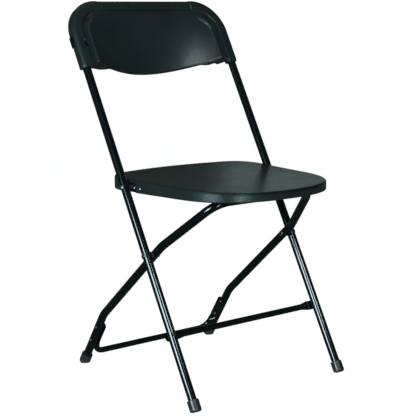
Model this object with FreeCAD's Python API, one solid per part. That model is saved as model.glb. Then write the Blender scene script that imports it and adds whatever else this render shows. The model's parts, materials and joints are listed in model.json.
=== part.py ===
"""Steel-framed folding chair with a moulded plastic seat and back.

Millimetres, +Z up, the sitter faces -Y. The origin lies on the floor, in the middle of the chair.
The front legs and the back are one inverted-U tube. The rear legs are a second U tube, which crosses
the first at two rivets, and its crossbar slides under the seat while the seat folds up.
"""
import FreeCAD, Part
import math
import os

Vector = FreeCAD.Vector
X_AXIS = Vector(1, 0, 0)
Y_AXIS = Vector(0, 1, 0)
Z_AXIS = Vector(0, 0, 1)

# Frame tubes
TUBE_RADIUS = 9.525
TUBE_WALL = 1.2
FRONT_HALF = 215.7          # half the spacing of the front legs, centre to centre
SIDE_GAP = 3.2              # room between a front leg and a rear leg for the washer
REAR_HALF = FRONT_HALF - 2 * TUBE_RADIUS - SIDE_GAP
LEG_END = 9.0               # a tube stops this far above the floor, along its axis

# Front frame, measured along its legs from the floor
LEAN = 28.8                 # the front legs lean back from the vertical
FRAME_TOP = 958.0
FRAME_BEND = 72.0
CROSSING = 352.0
SEAT_PIVOT = 513.4
FRONT_STRETCHER = 171.0
FRONT_FEET_Y = -209.4       # where the front legs meet the floor

# Cutters
OVERRUN = 20.0              # a cutter runs this far past what it cuts
HEAD_ROOM = 0.2             # room round a rivet head in its flat

# Rear legs, measured along the middle run from the crossing rivets
REAR_SLOPE = 41.4           # the middle run rises towards the front at this angle
REAR_FOOT_SLOPE = 57.7      # the lower run is steeper
REAR_KNEE = 264.0           # down to the knee
REAR_SHOULDER = 33.0        # up to where the legs turn inwards
REAR_CROSSBAR = 190.0       # up to the crossbar
SHOULDER_TURN = 20.0
KNEE_BEND = 70.0
SHOULDER_BEND = 60.0
CROSSBAR_BEND = 50.0

# Stretchers
STRETCHER_RADIUS = 7.0
STRETCHER_WALL = 1.0
TAB_THICKNESS = 2.8
TAB_WIDTH = 21.0
TAB_CORNER = 0.32           # corner radius of a tab, as a share of its width
TAB_LAP = 1.5               # a tab reaches this far into its taper
FRONT_TAB_LENGTH = 28.0
FRONT_TAPER = 22.0
FRONT_TAPER_START = 40.0    # inside the middle of the leg
REAR_TAPER = 12.0
REAR_STRETCHER_HEIGHT = 25.0
REAR_STRETCHER_BEND = 28.0
REAR_ARM_GAP = 0.4          # between the leg and the round part of the stretcher's arm
STRIP_WIDTH = 23.0
STRIP_RIVETS = (46.0, 88.0)  # above the rear stretcher, along the leg
STRIP_TOP = 99.0

# Rivets, pins and washers
PIVOT_RADIUS = 4.0
PIVOT_HEAD = 7.0
PIVOT_HEAD_HEIGHT = 3.0
RIVET_RADIUS = 2.5
RIVET_HEAD = 4.6
RIVET_HEAD_HEIGHT = 2.2
RUNNING_FIT = 0.06
HEAD_PLAY = 0.15            # side play under the head of a rivet that turns
DIMPLE = 0.5                # flat pressed into a tube under a rivet head
WASHER_RADIUS = 8.0
HINGE_HEAD = 6.0
SPACER_RADIUS = 6.5

# Feet
CAP_RADIUS = 13.0
CAP_HEIGHT = 27.0
CAP_ROUND = 5.0
CAP_LIP = 1.0

# Seat
SEAT_FRONT = -57.0          # these three are behind the line of the front feet
SEAT_REAR = 379.0
SEAT_WIDEST = 262.0
SEAT_HALF_REAR = 203.0
SEAT_HALF_FRONT = 181.0
SEAT_TOP = 459.5            # height of the middle of the pan
SIDE_RISE = 6.5
REAR_RISE = 5.5
DISH_START = 90.0           # behind the front feet, where the pan starts to rise
DISH_STEPS = 8              # sections that the pan is drawn through
PAN_THICKNESS = 4.0
SKIRT_THICKNESS = 3.5
SKIRT_LOW_REAR = 436.5
SKIRT_LOW_FRONT = 440.5
BRACKET_FACE = 197.0        # inner face of a bracket, from the middle of the chair
BRACKET_THICKNESS = 2.5
BRACKET_FRONT = 42.0        # ahead of the hinge pin
BRACKET_REAR = 14.0
BRACKET_LOW = 9.0           # below the hinge pin
BRACKET_HIGH = 8.0
BRACKET_RIVETS = (12.0, 34.0)  # ahead of the hinge pin: in the pocket, and through the skirt
BRACKET_RIVET_DROP = 2.0
BRACKET_RIVET_HEAD = 4.0
BRACKET_RIVET_HEAD_HEIGHT = 1.8
BRACKET_CORNER = 6.0
POCKET_FRONT = 22.0         # ahead of the hinge pin
POCKET_GAP = 2.0            # behind a bracket
BRACKET_SLOT = 0.1          # room round a bracket inside the skirt
SKIRT_SPOT = 201.0          # where the skirt is spot-faced for the front rivet's head
RAIL_OFFSET = 60.0
RAIL_WIDTH = 12.0
RAIL_BACK = 8.0             # ahead of the hinge pin
RAIL_STOP_THICKNESS = 8.0
RAIL_STOP_CHAMFER = 3.0
SLEEVE_RADIUS = 11.5
SLEEVE_LENGTH = 34.0
SLEEVE_OPENING = 5.0        # below the crossbar's axis
SLEEVE_PLAY = 0.3
FOLDED_PLAY = 1.2           # more room for the sleeve at the folded end of the rail
RAIL_SCREW_INSET = 25.0     # from the ends of the rail's bearing edge
RAIL_SCREW_RADIUS = 2.0
RAIL_SCREW_HEAD = 3.6
RAIL_SCREW_HEAD_HEIGHT = 2.2
RAIL_SCREW_SEAT = 450.0     # height of the bottom of the counterbores
RAIL_SCREW_LENGTH = 7.6
RIB_THICKNESS = 3.0
RIB_LOW = 449.5             # height of the ribs' lower edge
RIB_LAP = 0.5               # the ribs reach this far into the pan and the skirt
RIB_RAIL_GAP = 1.0
RIBS_ALONG = (-150.0, -105.0, 0.0, 105.0, 150.0)
RIBS_ACROSS = (-140.0, -50.0, 105.0, 160.0)  # behind the middle of the seat

# Folded state
SEAT_FOLD = 108.8
REAR_FOLD = 67.0

# Back, measured along the front frame from the floor
BACK_BOTTOM = 810.0
HOUSING_BOTTOM = 803.0
HOUSING_RADIUS = 12.8
HOUSING_BACK = 9.6          # the housing's walls end this far behind the tube's axis
HOUSING_CORNER = 6.0
HOUSING_PLAY = 0.1          # between the rim and the tube inside it
PANEL_THICKNESS = 3.5
PANEL_RIDGE = 184.0         # half-width at which the hollow of the back starts
PANEL_FRONT = 10.0          # front face at the ridges, ahead of the tube's axis
PANEL_HOLLOW = 71.0         # depth of the hollow at the lower edge
PANEL_HOLLOW_TOP = 4.0      # and at the top of the frame
HOLLOW_STEPS = 4            # points that draw half of the hollow's curve
GUSSET_START = 130.0
GUSSET_BACK = 25.0
GUSSET_THICKNESS = 3.0
GUSSET_WEB_HEIGHT = 40.0
CLIP_MIDDLE = 871.5
CLIP_WIDTH = 25.0
CLIP_THICKNESS = 1.4
CLIP_OUTER_LEG = 2.0        # the outer leg reaches this far ahead of the tube's axis
CLIP_INNER_LEG = 2.0        # the inner leg stops this far behind it
SCREW_REACH = 4.0           # past the inside of the tube's wall
SCREW_HEAD_HEIGHT = 2.0


def polar(angle):
    """Cosine and sine of an angle in degrees."""
    return math.cos(math.radians(angle)), math.sin(math.radians(angle))


LEAN_COS, LEAN_SIN = polar(LEAN)
SLOPE_COS, SLOPE_SIN = polar(REAR_SLOPE)
FOOT_COS, FOOT_SIN = polar(REAR_FOOT_SLOPE)


def lean(shape):
    """Stand a shape that was made on a vertical front frame at the frame's real angle."""
    placed = shape.copy()
    placed.rotate(Vector(), X_AXIS, -LEAN)
    placed.translate(Vector(0, FRONT_FEET_Y, 0))
    return placed


def frame_point(x, along, behind=0.0):
    """A point given by its place on the front frame."""
    y = FRONT_FEET_Y + along * LEAN_SIN + behind * LEAN_COS
    z = along * LEAN_COS - behind * LEAN_SIN
    return Vector(x, y, z)


def rear_point(x, along):
    """A point on the plane of the rear legs' middle runs."""
    crossing = frame_point(x, CROSSING)
    return crossing + Vector(0, -along * SLOPE_COS, along * SLOPE_SIN)


def lower_leg_point(x, height):
    """A point on the axis of a rear leg's lower run."""
    knee = rear_point(x, -REAR_KNEE)
    drop = (knee.z - height) / FOOT_SIN
    return knee + Vector(0, drop * FOOT_COS, -drop * FOOT_SIN)


def bent_path(points, radii):
    """A wire of straight runs joined by tangent arcs."""
    edges = []
    start = points[0]
    for before, corner, after, radius in zip(points, points[1:], points[2:], radii):
        back = (before - corner).normalize()
        ahead = (after - corner).normalize()
        half_turn = (math.pi - back.getAngle(ahead)) / 2
        tangent = radius * math.tan(half_turn)
        inward = (back + ahead).normalize()
        middle = corner + inward * (radius / math.cos(half_turn) - radius)
        first = corner + back * tangent
        last = corner + ahead * tangent
        edges.append(Part.LineSegment(start, first).toShape())
        edges.append(Part.Arc(first, middle, last).toShape())
        start = last
    edges.append(Part.LineSegment(start, points[-1]).toShape())
    return Part.Wire(edges)


def swept_rod(path, radius):
    """A solid rod along a wire."""
    first = path.Edges[0]
    start = first.valueAt(first.FirstParameter)
    direction = first.tangentAt(first.FirstParameter)
    circle = Part.Wire([Part.makeCircle(radius, start, direction)])
    return path.makePipeShell([circle], True, False)


def swept_tube(path, radius, wall):
    """A hollow tube along a wire."""
    return swept_rod(path, radius).cut(swept_rod(path, radius - wall))


def cross_pin(center, inner, outer, radius):
    """A plain pin along X between two distances from the middle of the chair, on both sides."""
    pins = []
    for side in (-1, 1):
        start = Vector(side * inner, center.y, center.z)
        pins.append(Part.makeCylinder(radius, outer - inner, start, X_AXIS * side))
    return pins


def rivet(start, direction, grip, shank, head, head_height):
    """A rivet with a domed head on both ends of its grip."""
    dome = (head ** 2 - head_height ** 2) / (2 * head_height)
    sphere = math.hypot(dome, head)
    half_way = math.atan2(head, dome) / 2
    rise = sphere * math.sin(half_way)
    middle = sphere * math.cos(half_way) - dome
    profile = [
        Part.Arc(Vector(0, 0, -head_height), Vector(rise, 0, -middle), Vector(head, 0, 0)).toShape(),
        Part.LineSegment(Vector(head, 0, 0), Vector(shank, 0, 0)).toShape(),
        Part.LineSegment(Vector(shank, 0, 0), Vector(shank, 0, grip)).toShape(),
        Part.LineSegment(Vector(shank, 0, grip), Vector(head, 0, grip)).toShape(),
        Part.Arc(Vector(head, 0, grip), Vector(rise, 0, grip + middle),
                 Vector(0, 0, grip + head_height)).toShape(),
        Part.LineSegment(Vector(0, 0, grip + head_height), Vector(0, 0, -head_height)).toShape(),
    ]
    face = Part.Face(Part.Wire(profile))
    solid = face.revolve(Vector(), Z_AXIS, 360)
    solid.Placement = FreeCAD.Placement(start, FreeCAD.Rotation(Z_AXIS, direction))
    return solid


def ring(center, direction, inner, outer, length):
    """A washer or a spacer."""
    body = Part.makeCylinder(outer, length, center, direction)
    return body.cut(Part.makeCylinder(inner, length, center, direction))


def dimples(center, half_span, head, facing):
    """Cutters for the flats under rivet heads on a pair of legs: facing is 1 outwards, -1 inwards."""
    cutters = []
    for side in (-1, 1):
        outward = side * facing
        x = side * half_span + outward * (TUBE_RADIUS - DIMPLE)
        start = Vector(x, center.y, center.z)
        cutters.append(Part.makeCylinder(head + HEAD_ROOM, OVERRUN, start, X_AXIS * outward))
    return cutters


def cut_all(shape, cutters):
    for cutter in cutters:
        shape = shape.cut(cutter)
    return shape


def front_frame():
    """The inverted U: both front legs and the bar inside the top of the back."""
    points = [
        Vector(-FRONT_HALF, 0, LEG_END),
        Vector(-FRONT_HALF, 0, FRAME_TOP),
        Vector(FRONT_HALF, 0, FRAME_TOP),
        Vector(FRONT_HALF, 0, LEG_END),
    ]
    tube = lean(swept_tube(bent_path(points, [FRAME_BEND] * 2), TUBE_RADIUS, TUBE_WALL))
    crossing = frame_point(0, CROSSING)
    pivot = frame_point(0, SEAT_PIVOT)
    for center in (crossing, pivot):
        tube = cut_all(tube, cross_pin(center, REAR_HALF, FRONT_HALF + OVERRUN, PIVOT_RADIUS))
        tube = cut_all(tube, dimples(center, FRONT_HALF, PIVOT_HEAD, 1))
    for side in (-1, 1):
        start = Vector(side * FRONT_HALF, -OVERRUN, FRONT_STRETCHER)
        tube = tube.cut(lean(Part.makeCylinder(RIVET_RADIUS, 2 * OVERRUN, start, Y_AXIS)))
        seat = Vector(side * FRONT_HALF, DIMPLE - TUBE_RADIUS - OVERRUN, FRONT_STRETCHER)
        tube = tube.cut(lean(Part.makeCylinder(RIVET_HEAD + HEAD_ROOM, OVERRUN, seat, Y_AXIS)))
        screw = Vector(side * FRONT_HALF, 0, CLIP_MIDDLE)
        tube = tube.cut(lean(Part.makeCylinder(RIVET_RADIUS, OVERRUN, screw, Y_AXIS)))
    return tube


def rear_frame():
    """The rear legs and their crossbar, one bent tube."""
    inset = (REAR_CROSSBAR - REAR_SHOULDER) * math.tan(math.radians(SHOULDER_TURN))
    left = [
        lower_leg_point(-REAR_HALF, LEG_END * FOOT_SIN),
        rear_point(-REAR_HALF, -REAR_KNEE),
        rear_point(-REAR_HALF, REAR_SHOULDER),
        rear_point(-REAR_HALF + inset, REAR_CROSSBAR),
    ]
    right = [Vector(-point.x, point.y, point.z) for point in reversed(left)]
    bends = [KNEE_BEND, SHOULDER_BEND, CROSSBAR_BEND]
    path = bent_path(left + right, bends + bends[::-1])
    tube = swept_tube(path, TUBE_RADIUS, TUBE_WALL)
    crossing = frame_point(0, CROSSING)
    inner, outer = REAR_HALF - OVERRUN, REAR_HALF + OVERRUN
    tube = cut_all(tube, cross_pin(crossing, inner, outer, PIVOT_RADIUS + RUNNING_FIT))
    tube = cut_all(tube, dimples(crossing, REAR_HALF, PIVOT_HEAD, -1))
    for center in strip_rivet_points():
        tube = cut_all(tube, cross_pin(center, inner, outer, RIVET_RADIUS))
        tube = cut_all(tube, dimples(center, REAR_HALF, RIVET_HEAD, 1))
    return tube


def foot_cap(x, y, tilt):
    """A plastic cap on the end of a leg, worn flat where it meets the floor."""
    body = Part.makeCylinder(CAP_RADIUS, CAP_HEIGHT)
    lower = [edge for edge in body.Edges if abs(edge.CenterOfMass.z) < 0.01]
    body = body.makeFillet(CAP_ROUND, lower)
    upper = [edge for edge in body.Edges if abs(edge.CenterOfMass.z - CAP_HEIGHT) < 0.01]
    body = body.makeFillet(CAP_LIP, upper)
    bore = Part.makeCylinder(TUBE_RADIUS, CAP_HEIGHT, Vector(0, 0, LEG_END))
    body = body.cut(bore)
    body.rotate(Vector(), X_AXIS, tilt)
    body.translate(Vector(x, y, 0))
    reach = CAP_HEIGHT + CAP_RADIUS
    floor = Part.makeBox(2 * reach, 2 * reach, reach, Vector(x - reach, y - reach, -reach))
    return body.cut(floor)


def flattened_end(start, axis, shift, flat_length, flat_width, width_axis, blend):
    """The end of a stretcher: a round tube that runs out into a flat tab."""
    circle = Part.Wire([Part.makeCircle(STRETCHER_RADIUS, start, axis)])
    far = start + axis * blend + shift
    thin_axis = axis.cross(width_axis)
    oval = Part.Ellipse(far + width_axis * (flat_width / 2), far + thin_axis * (TAB_THICKNESS / 2), far)
    taper = Part.makeLoft([circle, Part.Wire([oval.toShape()])], True)
    corner = far - width_axis * (flat_width / 2) - thin_axis * (TAB_THICKNESS / 2) - axis * TAB_LAP
    outline = [
        corner,
        corner + width_axis * flat_width,
        corner + width_axis * flat_width + thin_axis * TAB_THICKNESS,
        corner + thin_axis * TAB_THICKNESS,
        corner,
    ]
    tab = Part.Face(Part.makePolygon(outline)).extrude(axis * (flat_length + TAB_LAP))
    ends = [edge for edge in tab.Edges
            if abs(edge.Length - TAB_THICKNESS) < 0.01
            and (edge.CenterOfMass - far).dot(axis) > flat_length - 0.01]
    tab = tab.makeFillet(flat_width * TAB_CORNER, ends)
    return taper.fuse(tab)


def front_stretcher():
    """Cross tube behind the front legs, flattened where it is riveted to them."""
    behind = TUBE_RADIUS + TAB_THICKNESS / 2
    round_end = FRONT_HALF - FRONT_TAPER_START
    bore_end = round_end - STRETCHER_WALL
    ends = []
    for side in (-1, 1):
        start = Vector(side * round_end, behind, FRONT_STRETCHER)
        ends.append(flattened_end(start, X_AXIS * side, Vector(), FRONT_TAB_LENGTH, TAB_WIDTH, Z_AXIS,
                                  FRONT_TAPER))
    first = Vector(-round_end, behind, FRONT_STRETCHER)
    body = Part.makeCylinder(STRETCHER_RADIUS, 2 * round_end, first, X_AXIS).fuse(ends).removeSplitter()
    inside = Vector(-bore_end, behind, FRONT_STRETCHER)
    body = body.cut(Part.makeCylinder(STRETCHER_RADIUS - STRETCHER_WALL, 2 * bore_end, inside, X_AXIS))
    for side in (-1, 1):
        hole = Vector(side * FRONT_HALF, 0, FRONT_STRETCHER)
        body = body.cut(Part.makeCylinder(RIVET_RADIUS, OVERRUN, hole, Y_AXIS))
    return lean(body)


def front_stretcher_rivets():
    """Two rivets, driven from the front through a leg and the stretcher's tab."""
    rivets = []
    grip = 2 * TUBE_RADIUS - DIMPLE + TAB_THICKNESS
    for side in (-1, 1):
        start = Vector(side * FRONT_HALF, -TUBE_RADIUS + DIMPLE, FRONT_STRETCHER)
        rivets.append(lean(rivet(start, Y_AXIS, grip, RIVET_RADIUS, RIVET_HEAD, RIVET_HEAD_HEIGHT)))
    return Part.makeCompound(rivets)


def strip_rivet_points():
    """Middles of the holes for the rear stretcher's rivets, on the axis of the legs."""
    base = lower_leg_point(0, REAR_STRETCHER_HEIGHT)
    up = Vector(0, -FOOT_COS, FOOT_SIN)
    return [base + up * distance for distance in STRIP_RIVETS]


def rear_stretcher():
    """Cross tube between the rear feet, its ends turned up and flattened against the legs."""
    up = Vector(0, -FOOT_COS, FOOT_SIN)
    across = Vector(0, FOOT_SIN, FOOT_COS)
    base = lower_leg_point(0, REAR_STRETCHER_HEIGHT)
    leg_face = REAR_HALF - TUBE_RADIUS
    arm = leg_face - STRETCHER_RADIUS - REAR_ARM_GAP
    arm_end = REAR_STRETCHER_BEND + STRETCHER_WALL
    points = [base + Vector(-arm, 0, 0) + up * arm_end, base + Vector(-arm, 0, 0),
              base + Vector(arm, 0, 0), base + Vector(arm, 0, 0) + up * arm_end]
    path = bent_path(points, [REAR_STRETCHER_BEND] * 2)
    body = swept_rod(path, STRETCHER_RADIUS)
    flat = STRIP_TOP - arm_end - REAR_TAPER
    for side in (-1, 1):
        start = points[0] if side < 0 else points[-1]
        shift = Vector(side * (leg_face - TAB_THICKNESS / 2 - arm), 0, 0)
        body = body.fuse(flattened_end(start, up, shift, flat, STRIP_WIDTH, across, REAR_TAPER))
    body = body.cut(swept_rod(path, STRETCHER_RADIUS - STRETCHER_WALL)).removeSplitter()
    for center in strip_rivet_points():
        body = cut_all(body, cross_pin(center, REAR_HALF - OVERRUN, REAR_HALF, RIVET_RADIUS))
    return body


def rear_stretcher_rivets():
    """Four rivets, two through each rear leg and the strip on its inner side."""
    rivets = []
    outer = REAR_HALF + TUBE_RADIUS - DIMPLE
    grip = outer - (REAR_HALF - TUBE_RADIUS - TAB_THICKNESS)
    for side in (-1, 1):
        for center in strip_rivet_points():
            start = Vector(side * outer, center.y, center.z)
            rivets.append(rivet(start, X_AXIS * -side, grip, RIVET_RADIUS, RIVET_HEAD,
                                RIVET_HEAD_HEIGHT))
    return Part.makeCompound(rivets)


def crossing_rivet(side):
    """The rivet that a front and a rear leg turn on."""
    center = frame_point(0, CROSSING)
    outer = FRONT_HALF + TUBE_RADIUS - DIMPLE
    inner = REAR_HALF - TUBE_RADIUS + DIMPLE - HEAD_PLAY
    start = Vector(side * inner, center.y, center.z)
    return rivet(start, X_AXIS * side, outer - inner, PIVOT_RADIUS, PIVOT_HEAD, PIVOT_HEAD_HEIGHT)


def crossing_washer(side):
    """The washer between a front and a rear leg."""
    center = frame_point(0, CROSSING)
    start = Vector(side * (FRONT_HALF - TUBE_RADIUS), center.y, center.z)
    length = SIDE_GAP - HEAD_PLAY
    return ring(start, X_AXIS * -side, PIVOT_RADIUS, WASHER_RADIUS, length)


def seat_hinge_pin(side):
    """The pin that the seat turns on, through a front leg, a spacer, the bracket and the skirt."""
    center = frame_point(0, SEAT_PIVOT)
    outer = FRONT_HALF + TUBE_RADIUS - DIMPLE
    inner = BRACKET_FACE - SKIRT_THICKNESS - HEAD_PLAY
    start = Vector(side * inner, center.y, center.z)
    return rivet(start, X_AXIS * side, outer - inner, PIVOT_RADIUS, HINGE_HEAD, PIVOT_HEAD_HEIGHT)


def seat_hinge_spacer(side):
    """The spacer between a front leg and the seat's bracket."""
    center = frame_point(0, SEAT_PIVOT)
    start = Vector(side * (FRONT_HALF - TUBE_RADIUS), center.y, center.z)
    length = FRONT_HALF - TUBE_RADIUS - BRACKET_FACE - BRACKET_THICKNESS - HEAD_PLAY
    return ring(start, X_AXIS * -side, PIVOT_RADIUS, SPACER_RADIUS, length)


def seat_outline(inset, low, high):
    """A prism of the seat's plan, drawn in by an inset."""
    half = [
        (0, SEAT_FRONT), (62, SEAT_FRONT + 4), (118, SEAT_FRONT + 23), (158, SEAT_FRONT + 54),
        (SEAT_HALF_FRONT, SEAT_FRONT + 98), (194, 145), (SEAT_HALF_REAR - 0.5, SEAT_WIDEST - 30),
        (SEAT_HALF_REAR - 2, SEAT_WIDEST + 28), (181, SEAT_REAR - 45), (135, SEAT_REAR - 19),
        (70, SEAT_REAR - 4), (0, SEAT_REAR),
    ]
    loop = half + [(-x, y) for x, y in reversed(half[1:-1])]
    points = [Vector(x, FRONT_FEET_Y + y, low) for x, y in loop]
    curve = Part.BSplineCurve()
    curve.interpolate(points, PeriodicFlag=True)
    if inset:
        inward = [Z_AXIS.cross(curve.tangent(curve.parameter(point))[0]).normalize() for point in points]
        points = [point + normal * inset for point, normal in zip(points, inward)]
        curve = Part.BSplineCurve()
        curve.interpolate(points, PeriodicFlag=True)
    wire = Part.Wire([curve.toShape()])
    return Part.Face(wire).extrude(Vector(0, 0, high - low))


def above_pan(drop):
    """Everything above the dished pan, lowered by a distance."""
    front = SEAT_FRONT - OVERRUN
    rear = SEAT_REAR + OVERRUN
    wide = SEAT_HALF_REAR + 3 * OVERRUN
    side_lift = Vector(0, 0, SIDE_RISE * (wide / SEAT_HALF_REAR) ** 2)
    ceiling = SEAT_TOP + 3 * OVERRUN
    sections = []
    for step in range(DISH_STEPS + 1):
        y = front + (rear - front) * step / DISH_STEPS
        share = max(0.0, (y - DISH_START) / (SEAT_REAR - DISH_START))
        middle = Vector(0, FRONT_FEET_Y + y, SEAT_TOP - drop + REAR_RISE * share ** 2)
        left = middle + Vector(-wide, 0, 0) + side_lift
        right = middle + Vector(wide, 0, 0) + side_lift
        left_top, right_top = Vector(left.x, left.y, ceiling), Vector(right.x, right.y, ceiling)
        sections.append(Part.Wire([
            Part.Arc(left, middle, right).toShape(),
            Part.LineSegment(right, right_top).toShape(),
            Part.LineSegment(right_top, left_top).toShape(),
            Part.LineSegment(left_top, left).toShape(),
        ]))
    return Part.makeLoft(sections, True, False)


def below_skirt():
    """Everything below the lower edge of the seat's skirt."""
    front = FRONT_FEET_Y + SEAT_FRONT - OVERRUN
    rear = FRONT_FEET_Y + SEAT_REAR + OVERRUN
    wide = SEAT_HALF_REAR + OVERRUN
    low = SKIRT_LOW_REAR - OVERRUN
    corners = [
        Vector(-wide, front, SKIRT_LOW_FRONT),
        Vector(-wide, rear, SKIRT_LOW_REAR),
        Vector(-wide, rear, low),
        Vector(-wide, front, low),
        Vector(-wide, front, SKIRT_LOW_FRONT),
    ]
    return Part.Face(Part.makePolygon(corners)).extrude(X_AXIS * (2 * wide))


def crossbar_center():
    return rear_point(0, REAR_CROSSBAR)


def folded_crossbar_center():
    """The crossbar's place in the seat's own frame when the chair is folded."""
    pivot = frame_point(0, SEAT_PIVOT)
    crossing = frame_point(0, CROSSING)
    turned = FreeCAD.Rotation(X_AXIS, -REAR_FOLD).multVec(crossbar_center() - crossing) + crossing
    return FreeCAD.Rotation(X_AXIS, SEAT_FOLD).multVec(turned - pivot) + pivot


def rail_profile():
    """Side view of a slide rail: the crossbar's sleeve bears on its lower edge at rest and folded."""
    bar = crossbar_center()
    folded = folded_crossbar_center()
    bearing = bar.z + SLEEVE_RADIUS + SLEEVE_PLAY
    folded_bearing = folded.z + SLEEVE_RADIUS + SLEEVE_PLAY + FOLDED_PLAY
    slope = (folded_bearing - bearing) / (folded.y - bar.y)
    stop = bar.y - SLEEVE_RADIUS - SLEEVE_PLAY
    front = stop - RAIL_STOP_THICKNESS
    back = frame_point(0, SEAT_PIVOT).y - RAIL_BACK
    top = SEAT_TOP + PAN_THICKNESS
    return [
        Vector(0, front, top),
        Vector(0, front, bar.z + RAIL_STOP_CHAMFER),
        Vector(0, stop, bar.z - RAIL_STOP_CHAMFER),
        Vector(0, stop, bearing),
        Vector(0, bar.y, bearing),
        Vector(0, back, bearing + slope * (back - bar.y)),
        Vector(0, back + RAIL_STOP_THICKNESS, top),
        Vector(0, front, top),
    ]


def slide_rail(side):
    """The rail that the crossbar's sleeve slides along, screwed up into the pan."""
    face = Part.Face(Part.makePolygon(rail_profile()))
    start = side * RAIL_OFFSET - RAIL_WIDTH / 2
    face.translate(Vector(start, 0, 0))
    rail = face.extrude(Vector(RAIL_WIDTH, 0, 0))
    rail = rail.cut(above_pan(PAN_THICKNESS))
    return cut_all(rail, rail_screw_shanks(side))


def rail_screw_points(side):
    front = crossbar_center().y + RAIL_SCREW_INSET
    rear = frame_point(0, SEAT_PIVOT).y - RAIL_SCREW_INSET
    return [Vector(side * RAIL_OFFSET, y, RAIL_SCREW_SEAT) for y in (front, (front + rear) / 2, rear)]


def rail_screw_shanks(side):
    """Screw holes through a rail; the heads sit in counterbores."""
    cutters = []
    for point in rail_screw_points(side):
        cutters.append(Part.makeCylinder(RAIL_SCREW_RADIUS, OVERRUN, point))
        cutters.append(Part.makeCylinder(RAIL_SCREW_HEAD + HEAD_ROOM, OVERRUN, point, Z_AXIS * -1))
    return cutters


def slide_rail_screws(side):
    """Pan-head screws that hold a slide rail."""
    screws = []
    for point in rail_screw_points(side):
        head = Part.makeCylinder(RAIL_SCREW_HEAD, RAIL_SCREW_HEAD_HEIGHT, point, Z_AXIS * -1)
        rim = [edge for edge in head.Edges if edge.CenterOfMass.z < point.z - RAIL_SCREW_HEAD_HEIGHT / 2]
        head = head.makeFillet(RAIL_SCREW_HEAD_HEIGHT / 2, rim)
        shank = Part.makeCylinder(RAIL_SCREW_RADIUS, RAIL_SCREW_LENGTH, point)
        screws.append(head.fuse(shank))
    return Part.makeCompound(screws)


def side_box(side, inner, outer, front, rear, low, high):
    """A box between two distances from the middle of the chair, on one side."""
    near = min(side * inner, side * outer)
    return Part.makeBox(outer - inner, rear - front, high - low, Vector(near, front, low))


def bracket_pocket(side, low, high):
    """The cutters for a bracket's pocket and for its slot in the skirt, and the walls round them."""
    pivot = frame_point(0, SEAT_PIVOT)
    front = pivot.y - POCKET_FRONT
    rear = pivot.y + BRACKET_REAR + POCKET_GAP
    plate_front = pivot.y - BRACKET_FRONT - BRACKET_SLOT
    plate_low = pivot.z - BRACKET_LOW - BRACKET_SLOT
    plate_high = pivot.z + BRACKET_HIGH + BRACKET_SLOT
    plate_outer = BRACKET_FACE + BRACKET_THICKNESS + BRACKET_SLOT
    outer = SEAT_HALF_REAR + SKIRT_THICKNESS
    inner = BRACKET_FACE - SKIRT_THICKNESS
    cavity = side_box(side, BRACKET_FACE, outer, front, rear, low, SEAT_TOP)
    slot = side_box(side, BRACKET_FACE, plate_outer, plate_front, front, plate_low, plate_high)
    walls_front = plate_front - SKIRT_THICKNESS
    walls = side_box(side, inner, BRACKET_FACE, walls_front, rear + SKIRT_THICKNESS, low, high)
    walls = walls.fuse([
        side_box(side, BRACKET_FACE, outer, front - SKIRT_THICKNESS, front, low, high),
        side_box(side, BRACKET_FACE, outer, rear, rear + SKIRT_THICKNESS, low, high),
    ])
    return cavity, slot, walls


def seat_shell():
    """The moulded pan with its skirt, stiffening ribs and the pockets for the hinge brackets."""
    low, high = SKIRT_LOW_REAR - OVERRUN / 2, SEAT_TOP + OVERRUN
    solid_seat = seat_outline(0, low, high).cut(above_pan(0)).cut(below_skirt())
    hollow = seat_outline(SKIRT_THICKNESS, low, high).cut(above_pan(PAN_THICKNESS))
    shell = solid_seat.cut(hollow).fuse(seat_ribs())
    for side in (-1, 1):
        cavity, slot, walls = bracket_pocket(side, low, high)
        shell = shell.cut(cavity).fuse(walls.common(solid_seat)).cut(slot)
    inner, outer = BRACKET_FACE - OVERRUN, BRACKET_FACE + OVERRUN
    pivot = frame_point(0, SEAT_PIVOT)
    shell = cut_all(shell, cross_pin(pivot, inner, outer, PIVOT_RADIUS + RUNNING_FIT))
    for center in bracket_rivet_points():
        shell = cut_all(shell, cross_pin(center, inner, outer, RIVET_RADIUS))
    spot = BRACKET_RIVET_HEAD + HEAD_ROOM
    shell = cut_all(shell, cross_pin(bracket_rivet_points()[1], SKIRT_SPOT, outer, spot))
    for point in rail_screw_points(-1) + rail_screw_points(1):
        shell = shell.cut(Part.makeCylinder(RAIL_SCREW_RADIUS, RAIL_SCREW_LENGTH, point))
    return shell.removeSplitter()


def seat_ribs():
    """Ribs under the pan, joined into one network."""
    low, high = RIB_LOW, SEAT_TOP + OVERRUN
    front, rear = FRONT_FEET_Y + SEAT_FRONT, FRONT_FEET_Y + SEAT_REAR
    middle = (front + rear) / 2
    length = rear - front
    bars = []
    for x in RIBS_ALONG:
        start = Vector(x - RIB_THICKNESS / 2, front, low)
        bars.append(Part.makeBox(RIB_THICKNESS, length, high - low, start))
    for behind in RIBS_ACROSS:
        start = Vector(-SEAT_HALF_REAR, middle + behind, low)
        bars.append(Part.makeBox(2 * SEAT_HALF_REAR, RIB_THICKNESS, high - low, start))
    ribs = bars[0].fuse(bars[1:])
    for side in (-1, 1):
        half = RAIL_WIDTH / 2 + RIB_RAIL_GAP
        ribs = ribs.cut(side_box(side, RAIL_OFFSET - half, RAIL_OFFSET + half, front, rear, low, high))
    room = seat_outline(SKIRT_THICKNESS - RIB_LAP, low, high)
    return ribs.common(room).cut(above_pan(PAN_THICKNESS - RIB_LAP))


def bracket_rivet_points():
    pivot = frame_point(0, SEAT_PIVOT)
    return [pivot + Vector(0, -ahead, -BRACKET_RIVET_DROP) for ahead in BRACKET_RIVETS]


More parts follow.
